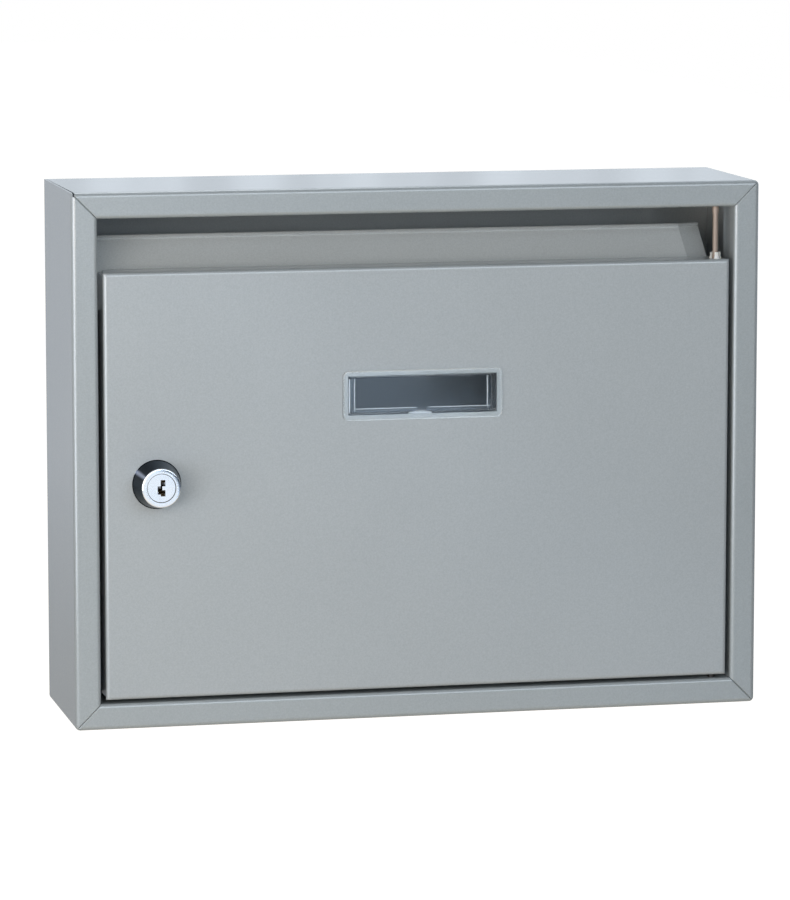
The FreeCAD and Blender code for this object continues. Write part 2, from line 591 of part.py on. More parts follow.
def make_cam_screw():
    """Hexagon screw that holds the cam on the plug."""
    return hexagon(SCREW_HEAD_FLATS, SCREW_SEAT, SCREW_SEAT + SCREW_HEAD_H).fuse(
        rod_y(SCREW_D, SCREW_SEAT - SCREW_L, SCREW_SEAT)).removeSplitter()


os.makedirs("parts", exist_ok=True)
save("housing", make_housing())
save("back_pan", make_back_pan())
save("slot_baffle", make_baffle())
save("hinge_rod", make_rod())
save("door", make_door())
save("hinge_bush_upper", make_upper_bush())
save("hinge_bush_lower", make_lower_bush())
save("name_holder", make_name_holder())
save("lock_body", make_lock_body())
save("lock_tooth_washer", make_ring(TOOTH_WASHER_D, BARREL_D + 2 * TOOTH_WASHER_PLAY, FRONT + SHEET,
                                    FRONT + SHEET + TOOTH_WASHER_T))
save("lock_nut", make_lock_nut())
save("lock_plug", make_plug())
save("lock_wafers", make_wafers())
save("lock_stop_washer", make_stop_washer())
save("lock_cam", make_cam())
save("cam_spring_washer", make_spring_washer())
save("cam_screw", make_cam_screw())
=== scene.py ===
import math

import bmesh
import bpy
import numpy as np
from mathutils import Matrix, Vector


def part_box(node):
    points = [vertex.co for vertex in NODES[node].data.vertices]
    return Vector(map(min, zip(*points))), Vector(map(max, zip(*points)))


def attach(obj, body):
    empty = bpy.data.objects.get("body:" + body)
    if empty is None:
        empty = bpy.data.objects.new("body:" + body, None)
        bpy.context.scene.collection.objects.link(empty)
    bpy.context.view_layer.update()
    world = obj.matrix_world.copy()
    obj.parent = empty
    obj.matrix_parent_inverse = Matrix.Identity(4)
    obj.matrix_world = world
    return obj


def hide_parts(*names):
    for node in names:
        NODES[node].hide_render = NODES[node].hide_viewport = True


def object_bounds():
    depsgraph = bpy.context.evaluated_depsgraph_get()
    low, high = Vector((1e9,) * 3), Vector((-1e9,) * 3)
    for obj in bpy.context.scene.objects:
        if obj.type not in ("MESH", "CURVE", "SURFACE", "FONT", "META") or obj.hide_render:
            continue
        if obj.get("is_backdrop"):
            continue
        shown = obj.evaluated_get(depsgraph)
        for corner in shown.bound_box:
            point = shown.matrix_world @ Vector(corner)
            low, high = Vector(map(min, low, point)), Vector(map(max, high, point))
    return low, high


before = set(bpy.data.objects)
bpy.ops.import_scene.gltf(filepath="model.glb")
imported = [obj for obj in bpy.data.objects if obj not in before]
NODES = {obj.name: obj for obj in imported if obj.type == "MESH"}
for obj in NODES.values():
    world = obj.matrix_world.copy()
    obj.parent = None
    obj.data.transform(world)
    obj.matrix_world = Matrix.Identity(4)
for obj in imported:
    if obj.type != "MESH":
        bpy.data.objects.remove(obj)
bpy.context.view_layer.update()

# %% [markdown]
# # A wall mailbox in silver-grey enamel
# The solids of the mailbox come in ready made, each node at the origin with its place in its mesh. This
# lesson dresses them: it sets up the camera, a studio and a floor, mixes one finish for each real material,
# and works out the small turned, threaded and moulded pieces as numpy surfaces. The last cell prints the
# size of the box that the dressed model fills.

MM = 0.001

# %% [markdown]
# ## Camera
# A long lens from far away keeps upright edges nearly parallel, as in a catalogue picture. The box is seen
# from its left and from a little above. The focal length is known in pixels of the 790 by 900 picture, and
# Blender measures the lens against the longer side of the sensor, so one division gives the lens. The two
# angles are in radians: the yaw turns the camera towards the box, and the pitch tips it down.

# %% Camera
PICTURE_HIGH = 900
FOCAL_PX = 4702.94
CAMERA_PLACE = (-480.94 * MM, -2149.42 * MM, 298.25 * MM)
CAMERA_YAW = 0.222814
CAMERA_PITCH = 0.138705
VIEW_END = 100.0

lens = bpy.data.cameras.new("catalogue_lens")
lens.lens = FOCAL_PX * lens.sensor_width / PICTURE_HIGH
lens.clip_end = VIEW_END
camera = bpy.data.objects.new("catalogue_camera", lens)
camera.location = CAMERA_PLACE
camera.rotation_euler = (math.pi / 2 - CAMERA_PITCH, 0.0, -CAMERA_YAW)
bpy.context.scene.collection.objects.link(camera)
bpy.context.scene.camera = camera
print("lens", round(lens.lens, 1), "mm")

# %% [markdown]
# ## Helpers for every finish
# Colours are written as sRGB hex codes, the way a paint chart gives them, and one function turns them to the
# linear values that a shader adds and multiplies. A second function adds any node: settings by name, socket
# values by name or number, and links from other sockets. Everything below is built with these two. A few
# settings come up again and again, so they have names of their own.

# %% Colour and node helpers
TIMES = {"operation": "MULTIPLY"}
TIMES_PLUS = {"operation": "MULTIPLY_ADD"}
MINUS = {"operation": "SUBTRACT"}
SUM_TO_ONE = {"operation": "ADD", "use_clamp": True}
ANGLE_OF = {"operation": "ARCTAN2"}
SMOOTH = {"interpolation_type": "SMOOTHSTEP"}


def linear(code):
    """Linear RGBA of an sRGB hex code: a share c up to 0.04045 is divided by 12.92, and above that
    (c + 0.055) / 1.055 is raised to the power 2.4."""
    srgb = np.array([int(code[i:i + 2], 16) for i in (0, 2, 4)]) / 255
    flat = np.where(srgb <= 0.04045, srgb / 12.92, ((srgb + 0.055) / 1.055) ** 2.4)
    return (*flat.tolist(), 1.0)


def node(tree, kind, settings=None, **sockets):
    """Add one node. The settings are its own properties. The sockets are inputs by name, or by number as in0,
    in1 and so on, and each is set to a value or linked to another node's output."""
    made = tree.nodes.new("ShaderNode" + kind)
    for key, value in (settings or {}).items():
        setattr(made, key, value)
    for key, value in sockets.items():
        name = key.replace("_", " ")
        numbered = name.startswith("in") and name[2:].isdigit()
        spot = made.inputs[int(name[2:])] if numbered else made.inputs[name]
        if isinstance(value, bpy.types.NodeSocket):
            tree.links.new(value, spot)
        else:
            spot.default_value = value
    return made


def new_material(name):
    """An empty material and its node tree."""
    material = bpy.data.materials.new(name)
    material.use_nodes = True
    material.node_tree.nodes.clear()
    return material, material.node_tree


print("half of full code is", round(linear("808080")[0], 3), "in linear light")

# %% [markdown]
# ## Studio background
# The real box was shown on white paper under soft light. The paper is drawn by the world, so that no sheet
# has to be modelled: it is plain white to the camera, and white to metal and glass too, so that they mirror
# it. As a light on the paint it is much weaker, because most of the light comes from the softboxes.

# %% White paper all round
PAPER_LIGHT = 0.15

scene = bpy.context.scene
scene.view_settings.view_transform = "Standard"
world = bpy.data.worlds.new("white_paper_and_dark_room")
world.use_nodes = True
scene.world = world
tree = world.node_tree
tree.nodes.clear()
rays = node(tree, "LightPath")
mirrored = node(tree, "Math", SUM_TO_ONE, in0=rays.outputs["Is Glossy Ray"],
                in1=rays.outputs["Is Transmission Ray"])
paper = node(tree, "MapRange", Value=mirrored.outputs[0], To_Min=PAPER_LIGHT, To_Max=1.0)
way = node(tree, "SeparateXYZ", Vector=node(tree, "TexCoord").outputs["Generated"])
ahead = node(tree, "Math", TIMES, in0=way.outputs["Y"], in1=-1.0)
turn = node(tree, "Math", ANGLE_OF, in0=way.outputs["X"], in1=ahead.outputs[0])
print("paper lights the paint at", PAPER_LIGHT, "of its white")

# %% [markdown]
# The half-gloss door and the clear window mirror what stands in front of them: at the right of the camera the
# room is dark, which shades the right end of the door, and a bright bluish curtain hangs beside the dark,
# which colours the window. Both are drawn as functions of the turn, the angle to the right of straight ahead.
# The dark edge leans: at two heights, each a pair of elevation and shift in degrees, it is moved sideways.

# %% Dark room and bright curtain
ROOM_DARK = 0.06
ROOM_EDGE_DEG = 13.6
ROOM_BLUR_DEG = 0.8
ROOM_END_DEG = (75.0, 115.0)
ROOM_LEAN_LOW = (-12.0, 6.1)
ROOM_LEAN_HIGH = (-4.0, -4.3)
CURTAIN_DEG = (3.6, 0.9)
CURTAIN_GAIN = 1.6

edge, blur = math.radians(ROOM_EDGE_DEG), math.radians(ROOM_BLUR_DEG)
end_starts, end_stops = np.radians(ROOM_END_DEG)
(low_at, low_turn), (high_at, high_turn) = np.radians((ROOM_LEAN_LOW, ROOM_LEAN_HIGH))
lean = node(tree, "MapRange", Value=way.outputs["Z"], From_Min=math.sin(low_at), From_Max=math.sin(high_at),
            To_Min=low_turn, To_Max=high_turn)
past = node(tree, "Math", MINUS, in0=turn.outputs[0], in1=lean.outputs[0])
near_edge = node(tree, "MapRange", SMOOTH, Value=past.outputs[0], From_Min=edge - blur, From_Max=edge + blur)
far_edge = node(tree, "MapRange", SMOOTH, Value=turn.outputs[0], From_Min=end_starts, From_Max=end_stops,
                To_Min=1.0, To_Max=0.0)
room = node(tree, "Math", TIMES, in0=near_edge.outputs[0], in1=far_edge.outputs[0])
dimmed = node(tree, "MapRange", Value=room.outputs[0], To_Min=1.0, To_Max=ROOM_DARK)
starts, stops = edge - np.radians(CURTAIN_DEG)
hung = node(tree, "MapRange", SMOOTH, Value=past.outputs[0], From_Min=starts, From_Max=stops)
curtain = node(tree, "Math", TIMES, in0=hung.outputs[0], in1=far_edge.outputs[0])
gain = node(tree, "MapRange", Value=curtain.outputs[0], To_Min=1.0, To_Max=CURTAIN_GAIN)
shaded = node(tree, "Math", TIMES, in0=dimmed.outputs[0], in1=gain.outputs[0])
print("dark room from", ROOM_EDGE_DEG, "to", ROOM_END_DEG[1], "degrees at the right")

# %% [markdown]
# The top of the box mirrors the world behind it, and the real one shows fine streaks from front to back, as
# from panels of a wall. A noise with only one dimension, fed with the turn, draws such upright panels, and
# the way's Y keeps them behind the box, away from the lock's bright face.

# %% Panels behind and the finished world
PANEL_DEG = 0.6
PANEL_SHADE = 0.22
PANEL_EDGES = (0.35, 0.65)
PANEL_FADE = 0.3

panels = node(tree, "TexNoise", {"noise_dimensions": "1D"}, W=turn.outputs[0],
              Scale=1 / math.radians(PANEL_DEG), Detail=1.0)
stripes = node(tree, "MapRange", Value=panels.outputs[0], From_Min=PANEL_EDGES[0], From_Max=PANEL_EDGES[1])
behind = node(tree, "MapRange", Value=way.outputs["Y"], From_Max=PANEL_FADE, To_Max=-PANEL_SHADE)
streaks = node(tree, "Math", TIMES_PLUS, in0=stripes.outputs[0], in1=behind.outputs[0], in2=1.0)
walls = node(tree, "Math", TIMES, in0=shaded.outputs[0], in1=streaks.outputs[0])
level = node(tree, "Math", TIMES, in0=paper.outputs[0], in1=walls.outputs[0])
shown = node(tree, "Math", {"operation": "MAXIMUM"}, in0=level.outputs[0],
             in1=rays.outputs["Is Camera Ray"])
tint = node(tree, "MixRGB", Fac=curtain.outputs[0], Color1=linear("EAF3FC"), Color2=linear("C4E0FF"))
colour = node(tree, "MixRGB", Fac=rays.outputs["Is Camera Ray"], Color1=tint.outputs[0],
              Color2=linear("FFFFFF"))
sky = node(tree, "Background", Color=colour.outputs[0], Strength=shown.outputs[0])
node(tree, "OutputWorld", Surface=sky.outputs[0])
print("world of", len(tree.nodes), "nodes")

# %% [markdown]
# ## Softboxes
# Four softboxes give the shape its light. A warm one in front at the left lights the left half of the front.
# A large cool one, further off and higher, shines over the door into the slot. A weaker one at the far left
# lights the side, and one above and behind lights the top. An area lamp shines along its own -Z, so its turn
# comes from the direction to the box. Each row holds name, place, width, height in metres, watts and colour.

# %% Softboxes
SOFTBOXES = (
    ("front_softbox", (-0.60, -0.97, 0.20), 0.9, 0.45, 5.0, "FFF3E7"),
    ("crown_softbox", (0.40, -1.80, 0.60), 1.3, 0.9, 13.0, "E6F2FF"),
    ("left_softbox", (-1.10, -0.90, -0.10), 0.9, 0.35, 4.8, "EAF2FF"),
    ("top_softbox", (-0.1, 0.45, 1.2), 0.8, 0.8, 5.2, "F6FAFF"),
)
for name, place, wide, high, power, colour in SOFTBOXES:
    lamp = bpy.data.lights.new(name, "AREA")
    lamp.shape = "RECTANGLE"
    lamp.size = wide
    lamp.size_y = high
    lamp.energy = power
    lamp.color = linear(colour)[:3]
    softbox = bpy.data.objects.new(name, lamp)
    softbox.location = place
    softbox.rotation_euler = softbox.location.to_track_quat("Z", "Y").to_euler()
    scene.collection.objects.link(softbox)
print("softboxes", [row[0] for row in SOFTBOXES])

# %% [markdown]
# ## Floor
# The box hangs on a wall that isn't shown, so the floor lies well below it. It is warm grey paper, and the
# light that it throws back warms the lower half of the front. To the camera and through glass it has to look
# like the white paper behind, so a glow, which puts no light on the paint, lifts it to white. In mirrors the
# glow is weaker and cool, and it grows with the distance behind the box: the left side, seen at a flat angle,
# mirrors just that, and so its lower end is darker. The two pairs are a distance in metres and the share of
# the glow that mirrors show there.

# %% Floor
FLOOR_DROP = 0.45
FLOOR_FRONT = -1.2
FLOOR_BACK = 12.0
FLOOR_HALF = 3.0
FLOOR_LIFT = 1.0
GLOW_NEAR = (1.65, 0.33)
GLOW_FAR = (3.1, 0.55)

outline = ((-FLOOR_HALF, FLOOR_FRONT), (FLOOR_HALF, FLOOR_FRONT),
           (FLOOR_HALF, FLOOR_BACK), (-FLOOR_HALF, FLOOR_BACK))
mesh = bpy.data.meshes.new("floor")
mesh.from_pydata([(x, y, -FLOOR_DROP) for x, y in outline], [], [(0, 1, 2, 3)])
floor = bpy.data.objects.new("floor", mesh)
scene.collection.objects.link(floor)
material, tree = new_material("warm_grey_paper_sweep")
rays = node(tree, "LightPath")
paper = node(tree, "BsdfDiffuse", Color=linear("CDBFA6"))
through = node(tree, "Math", SUM_TO_ONE, in0=rays.outputs["Is Transmission Ray"],
               in1=rays.outputs["Is Camera Ray"])
glow = node(tree, "MixRGB", Fac=through.outputs[0], Color1=linear("E9F2FF"), Color2=linear("FFFFFF"))
lift = node(tree, "Emission", Color=glow.outputs[0], Strength=FLOOR_LIFT)
lifted = node(tree, "AddShader", in0=paper.outputs[0], in1=lift.outputs[0])
back = node(tree, "SeparateXYZ", Vector=node(tree, "TexCoord").outputs["Object"]).outputs["Y"]
mirrored = node(tree, "MapRange", Value=back, From_Min=GLOW_NEAR[0], From_Max=GLOW_FAR[0],
                To_Min=GLOW_NEAR[1], To_Max=GLOW_FAR[1])
shown = node(tree, "Math", {**TIMES_PLUS, "use_clamp": True}, in0=rays.outputs["Is Glossy Ray"],
             in1=mirrored.outputs[0], in2=through.outputs[0])
seen = node(tree, "MixShader", in0=shown.outputs[0], in1=paper.outputs[0], in2=lifted.outputs[0])
node(tree, "OutputMaterial", Surface=seen.outputs[0])
mesh.materials.append(material)
floor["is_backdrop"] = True
print("floor", FLOOR_DROP, "m below the middle of the box")

# %% [markdown]
# ## Silver-grey enamel on sheet steel
# The whole box is stoved with a half-gloss enamel that carries fine aluminium flakes. Up close it has a
# stipple, the orange peel of sprayed paint, about a millimetre from bump to bump, and the flakes sparkle a
# little. Real flakes are hundredths of a millimetre, too fine to show, so they are drawn coarser. Paint also
# rounds every cut edge, which a Bevel node does to the normal. One function mixes the paint from two tones,
# and it is mixed three times. The box's tones are darker than the door's: painted shade that keeps the box's
# faces darker than the door, above all the flanges round the door. The tones of the slope behind the slot are
# lighter and warmer: painted light for the light that reaches it in the slot.

# %% Enamel
PEEL_MM = 1.1
PEEL_HEIGHT_MM = 0.012
FLAKE_MM = 0.7
EDGE_ROUND_MM = 0.5
CLOUD_MM = 90.0
CLOUD_SHARE = 0.10


def sprayed_enamel(name, dull, bright):
    """Half-gloss flake enamel between two tones: noise at the flakes' size mixes the tones, a wide noise
    clouds them, and the peel's height bends a normal that is already rounded over cut edges."""
    material, tree = new_material(name)
    place = node(tree, "TexCoord").outputs["Object"]
    flake = node(tree, "TexNoise", Vector=place, Scale=1 / (FLAKE_MM * MM), Detail=1.0)
    cloud = node(tree, "TexNoise", Vector=place, Scale=1 / (CLOUD_MM * MM), Detail=2.0)
    tone = node(tree, "MixRGB", Fac=flake.outputs[0], Color1=linear(dull), Color2=linear(bright))
    shade = node(tree, "MixRGB", {"blend_type": "MULTIPLY"}, Fac=CLOUD_SHARE, Color1=tone.outputs[0],
                 Color2=cloud.outputs[0])
    peel = node(tree, "TexNoise", Vector=place, Scale=1 / (PEEL_MM * MM), Detail=1.5)
    round_edge = node(tree, "Bevel", {"samples": 4}, Radius=EDGE_ROUND_MM * MM)
    bump = node(tree, "Bump", Height=peel.outputs[0], Distance=PEEL_HEIGHT_MM * MM, Strength=1.0,
                Normal=round_edge.outputs[0])
    coat = node(tree, "BsdfPrincipled", Base_Color=shade.outputs[0], Metallic=0.10, Roughness=0.34,
                Specular_IOR_Level=0.30, Coat_Weight=1.0, Coat_Roughness=0.12, Normal=bump.outputs[0])
    node(tree, "OutputMaterial", Surface=coat.outputs[0])
    return material


def dress(material, *names):
    """Give CAD nodes one material in place of what they came with."""
    for name in names:
        NODES[name].data.materials.clear()
        NODES[name].data.materials.append(material)
    print(material.name, "on", ", ".join(names))


# The box's darker tones are painted shade, and the slope's lighter, warmer tones are painted light. The
# door's tones are the paint's own.
dress(sprayed_enamel("silver_enamel_sprayed_on_box", "A0A7A9", "B5BCBE"), "housing", "back_pan")
dress(sprayed_enamel("silver_enamel_sprayed_on_door", "A8AEB0", "BDC3C5"), "door")
dress(sprayed_enamel("silver_enamel_sprayed_on_slope", "B4B8B7", "CACECD"), "slot_baffle")

# %% [markdown]
# ## Chrome on the lock's face
# The lock is a zinc casting whose face and plug are turned and then chromed. Chrome is a clear, slightly blue
# mirror. Turning leaves rings of about a tenth of a millimetre, too fine to see, so they are drawn a little
# coarser: a sine of the distance from the lock's axis lifts the normal. Handling leaves a faint smear, so the
# roughness wanders with a noise a few millimetres wide.

# %% Chrome
RING_MM = 0.32
RING_HEIGHT_MM = 0.0012
SMEAR_MM = 4.0

axis_low, axis_high = (np.array(corner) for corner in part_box("lock_tooth_washer"))
LOCK_X, _, LOCK_Z = (axis_low + axis_high) / 2
LOCK_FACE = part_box("lock_body")[0][1]

chrome, tree = new_material("chrome_on_turned_zinc_casting")
place = node(tree, "TexCoord").outputs["Object"]
from_axis = node(tree, "VectorMath", MINUS, in0=place, in1=(LOCK_X, 0.0, LOCK_Z))
flat = node(tree, "VectorMath", TIMES, in0=from_axis.outputs[0], in1=(1.0, 0.0, 1.0))
radius = node(tree, "VectorMath", {"operation": "LENGTH"}, in0=flat.outputs[0])
turns = node(tree, "Math", TIMES, in0=radius.outputs["Value"], in1=2 * math.pi / (RING_MM * MM))
rings = node(tree, "Math", {"operation": "SINE"}, in0=turns.outputs[0])
bump = node(tree, "Bump", Height=rings.outputs[0], Distance=RING_HEIGHT_MM * MM, Strength=1.0)
smear = node(tree, "TexNoise", Vector=place, Scale=1 / (SMEAR_MM * MM), Detail=3.0)
dull = node(tree, "MapRange", Value=smear.outputs[0], To_Min=0.07, To_Max=0.15)
plate = node(tree, "BsdfPrincipled", Base_Color=linear("FBFBFC"), Metallic=1.0, Roughness=dull.outputs[0],
             Normal=bump.outputs[0])
node(tree, "OutputMaterial", Surface=plate.outputs[0])
dress(chrome, "lock_plug")

# %% [markdown]
# ## Black nickel on the lock's collar
# The collar round the face is plated in black nickel, a dark mirror. At the upper left it shows a bright
# bluish streak, but the cone there mirrors only the door, so no lamp could draw it. The streak is a painted
# highlight: a band of angles round the lock's axis where the colour turns light.

# %% Black nickel
HIGHLIGHT_DEG = 147.0
HIGHLIGHT_HALF_DEG = 9.0

black_nickel, tree = new_material("black_nickel_on_zinc_casting")
place = node(tree, "TexCoord").outputs["Object"]
smear = node(tree, "TexNoise", Vector=place, Scale=1 / (SMEAR_MM * MM), Detail=3.0)
from_axis = node(tree, "VectorMath", MINUS, in0=place, in1=(LOCK_X, 0.0, LOCK_Z))
spoke = node(tree, "SeparateXYZ", Vector=from_axis.outputs[0])
turn = node(tree, "Math", ANGLE_OF, in0=spoke.outputs["Z"], in1=spoke.outputs["X"])
# The streak is a band of angles round the axis where the colour turns light bluish: a painted highlight.
off = node(tree, "Math", MINUS, in0=turn.outputs[0], in1=math.radians(HIGHLIGHT_DEG))
away = node(tree, "Math", {"operation": "ABSOLUTE"}, in0=off.outputs[0])
painted_highlight = node(tree, "MapRange", SMOOTH, Value=away.outputs[0], From_Min=0.0, From_Max=math.radians(HIGHLIGHT_HALF_DEG),
           To_Min=1.0, To_Max=0.0)
deep = node(tree, "MixRGB", Fac=smear.outputs[0], Color1=linear("0B0E12"), Color2=linear("181C22"))
tint = node(tree, "MixRGB", Fac=painted_highlight.outputs[0], Color1=deep.outputs[0], Color2=linear("A8B0C4"))
dull = node(tree, "MapRange", Value=smear.outputs[0], To_Min=0.10, To_Max=0.22)
plate = node(tree, "BsdfPrincipled", Base_Color=tint.outputs[0], Metallic=1.0, Roughness=dull.outputs[0],
             Specular_Tint=linear("D2D6DA"))
node(tree, "OutputMaterial", Surface=plate.outputs[0])
print(black_nickel.name, "highlighted at", HIGHLIGHT_DEG, "degrees")

# %% [markdown]
# ## Zinc plate and brass
# Nut, washers, cam and screw are steel with bright zinc plate, whose crystals give a faint mottle a few
# millimetres wide: cells of a Voronoi pattern, each with its own grey. The wafers in the plug are stamped
# from brass and drawn in a near-black tone.

# %% Zinc plate and brass
SPANGLE_MM = 2.5
GRIT_MM = 0.25
GRIT_HEIGHT_MM = 0.006

zinc, tree = new_material("bright_zinc_plate_on_stamped_steel")
place = node(tree, "TexCoord").outputs["Object"]
spangle = node(tree, "TexVoronoi", Vector=place, Scale=1 / (SPANGLE_MM * MM))
tint = node(tree, "MixRGB", Fac=spangle.outputs["Color"], Color1=linear("A9ADB2"), Color2=linear("C4C8CB"))
grit = node(tree, "TexNoise", Vector=place, Scale=1 / (GRIT_MM * MM), Detail=2.0)
dull = node(tree, "MapRange", Value=grit.outputs[0], To_Min=0.24, To_Max=0.42)
bump = node(tree, "Bump", Height=grit.outputs[0], Distance=GRIT_HEIGHT_MM * MM, Strength=1.0)
plate = node(tree, "BsdfPrincipled", Base_Color=tint.outputs[0], Metallic=1.0, Roughness=dull.outputs[0],
             Normal=bump.outputs[0])
node(tree, "OutputMaterial", Surface=plate.outputs[0])
dress(zinc, "lock_stop_washer", "lock_cam", "cam_spring_washer")

brass, tree = new_material("stamped_brass_near_black")
place = node(tree, "TexCoord").outputs["Object"]
grit = node(tree, "TexNoise", Vector=place, Scale=1 / (GRIT_MM * MM), Detail=2.0)
tint = node(tree, "MixRGB", Fac=grit.outputs[0], Color1=linear("16130D"), Color2=linear("2A2418"))
plate = node(tree, "BsdfPrincipled", Base_Color=tint.outputs[0], Metallic=1.0, Roughness=0.32)
node(tree, "OutputMaterial", Surface=plate.outputs[0])
dress(brass, "lock_wafers")

# %% [markdown]
# ## Turned and threaded pieces of the lock
# The solids carry plain cylinders where the real lock has threads, chamfers and twisted teeth. Each such
# piece is a surface round the lock's axis: rows of points go round the cut section, columns go round the
# axis, and the radius and the place along the axis are arrays over both. A thread is then only a radius that
# also depends on the angle, which no spun profile could give.

# %% A surface from rows and columns
MERGE = 1e-7
SHARP_DEG = 35


def skin(name, points, hollow=True, row_finish=None):
    """Mesh over rows by columns of points, closed round the columns. Rows run round to their start when the
    piece is hollow; otherwise the first and last rows lie each in one point and are merged. If the enclosed
    volume, a sixth of the sum of triple products, is negative, every face is turned round."""
    rows, columns = points.shape[:2]
    points = points.reshape(-1, 3)
    index = np.arange(rows * columns).reshape(rows, columns)
    below = np.roll(index, -1, 0)
    quads = np.stack((index, np.roll(index, -1, 1), np.roll(below, -1, 1), below), -1)
    quads = quads[:rows if hollow else rows - 1].reshape(-1, 4)
    a, b, c, d = (points[quads[:, k]] - points.mean(0) for k in range(4))
    volume = (np.einsum("ij,ij", a, np.cross(b, c)) + np.einsum("ij,ij", a, np.cross(c, d))) / 6
    if volume < 0:
        quads = quads[:, ::-1]
    mesh = bpy.data.meshes.new(name)
    mesh.from_pydata(points.tolist(), [], quads.tolist())
    if row_finish is not None:
        finish = np.repeat(row_finish, columns)[:len(quads)].astype(np.int32)
        mesh.polygons.foreach_set("material_index", finish)
    if not hollow:
        work = bmesh.new()
        work.from_mesh(mesh)
        bmesh.ops.remove_doubles(work, verts=work.verts, dist=MERGE)
        work.to_mesh(mesh)
        work.free()
    mesh.polygons.foreach_set("use_smooth", np.ones(len(mesh.polygons), dtype=bool))
    mesh.set_sharp_from_angle(angle=math.radians(SHARP_DEG))
    print(name, rows, "rows by", columns, "columns,", round(abs(volume) / MM ** 3), "cubic mm")
    return mesh


def stand_in(mesh, name, body, slot, *finishes):
    """Put a mesh in the scene for a CAD node: it rides on the node's body and hides the node. The slot is not
    used.
    """
    made = bpy.data.objects.new(mesh.name, mesh)
    scene.collection.objects.link(made)
    for finish in finishes:
        mesh.materials.append(finish)
    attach(made, body)
    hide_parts(name)
    return made


# %% Round the lock's axis
THREAD_STEPS = 6


def column_angles(columns):
    """Angles of the columns round the axis, from the right towards up."""
    return np.linspace(0.0, 2 * np.pi, columns, endpoint=False)


def turned(name, radius, along, hollow=True, row_finish=None):
    """Surface round the lock's axis from two arrays of rows by columns, in metres: column j stands at the
    angle 2 pi j over the number of columns, x and z are the axis plus the radius times the angle's cosine
    and sine, and y is the place along the axis."""
    angle = column_angles(radius.shape[1])
    points = np.stack((LOCK_X + radius * np.cos(angle), along, LOCK_Z + radius * np.sin(angle)), -1)
    return skin(name, points, hollow, row_finish)


def thread(along, angle, major, pitch, depth):
    """Radius on a thread: the major radius less the depth times a triangle wave of the place along, moved on
    by one pitch for each turn of the angle."""
    phase = (along / pitch - angle / (2 * np.pi)) % 1.0
    return major - depth * np.abs(2 * phase - 1)


print("lock axis at", round(LOCK_X / MM, 2), round(LOCK_Z / MM, 2), "mm")

# %% [markdown]
# The lock's body is one section: out over the bright face with its fine groove, round the rim, down the dark
# cone to the door, back along the threaded barrel and home through the bore. The face's points are a radius
# and a depth behind the face, the cone's a radius and a place in front of the door, in millimetres. The
# barrel has two flats, so its radius is held to the flat's distance divided by the cosine of the angle.

# %% Lock body
BODY_COLUMNS = 144
FACE_SECTION = ((6.4, 0.3), (6.62, 0.06), (6.62, 0.0), (7.1, 0.0), (7.14, 0.05), (7.22, 0.05), (7.26, 0.0))
CONE_SECTION = ((8.93, -12.2), (10.95, -0.6), (11.2, -0.35), (11.2, 0.0))
RIM_R = 0.55 * MM
RIM_STEPS = 6
CONE_TOP = 8.9 * MM
DOOR_FACE = -80.0 * MM
BARREL_R = 9.0 * MM
BARREL_FLAT = 8.0 * MM
BARREL_END = -62.1 * MM
BARREL_PITCH = 1.0 * MM
BARREL_THREAD = 0.45 * MM
BARREL_LEAD_R = 8.3 * MM
BARREL_END_R = 8.2 * MM
BORE_FRONT = 6.4 * MM
BORE_REAR = 5.85 * MM
BORE_STEP = -88.95 * MM
TINY = 1e-6

angle = column_angles(BODY_COLUMNS)
face_r, face_y = np.array(FACE_SECTION).T * MM
cone_r, cone_y = np.array(CONE_SECTION).T * MM
rim = np.linspace(0.0, np.pi / 2, RIM_STEPS)
rim_r = CONE_TOP - RIM_R * (1 - np.sin(rim))
rim_y = LOCK_FACE + RIM_R * (1 - np.cos(rim))
barrel_y = np.arange(DOOR_FACE, BARREL_END, BARREL_PITCH / THREAD_STEPS)
bore_r = np.array([BORE_REAR, BORE_REAR, BORE_FRONT])
bore_y = np.array([BARREL_END, BORE_STEP, BORE_STEP])
front_r = np.concatenate((face_r, rim_r, cone_r))
front_y = np.concatenate((LOCK_FACE + face_y, rim_y, DOOR_FACE + cone_y))

flats = BARREL_FLAT / np.maximum(np.abs(np.cos(angle)), TINY)
barrel = thread(barrel_y[:, None], angle, BARREL_R, BARREL_PITCH, BARREL_THREAD)
barrel = np.minimum(barrel, BARREL_LEAD_R + (BARREL_END - barrel_y)[:, None])
barrel = np.minimum(barrel, flats)
last = np.minimum(BARREL_END_R, flats)[None]
ones = np.ones(BODY_COLUMNS)
radius = np.concatenate((front_r[:, None] * ones, barrel, last, bore_r[:, None] * ones))
along = np.concatenate((front_y, barrel_y, [BARREL_END], bore_y))[:, None] * ones
dark = np.zeros(len(radius), dtype=int)
dark[len(face_r) + len(rim_r) - 1:] = 1
# The bevel into the bore at the plug's edge takes the black nickel too: painted shade for the dark line
# between plug and ring.
dark[0] = 1
body_mesh = turned("lock_body_turned", radius, along, row_finish=dark)
stand_in(body_mesh, "lock_body", "door_leaf", "chrome", chrome, black_nickel)

# %% [markdown]
# A stop lug stands on the barrel's rear end, at the top, and the washer behind it runs against it. It is a
# short piece of ring: its section has four corners, the rows go along the ring, and the first and last rows
# are drawn together into a point, which closes its ends.

# %% Stop lug
LUG_HALF_TURN = math.radians(15)
LUG_STEPS = 9
LUG_IN, LUG_OUT = 6.4 * MM, 8.0 * MM
LUG_LONG = 1.0 * MM

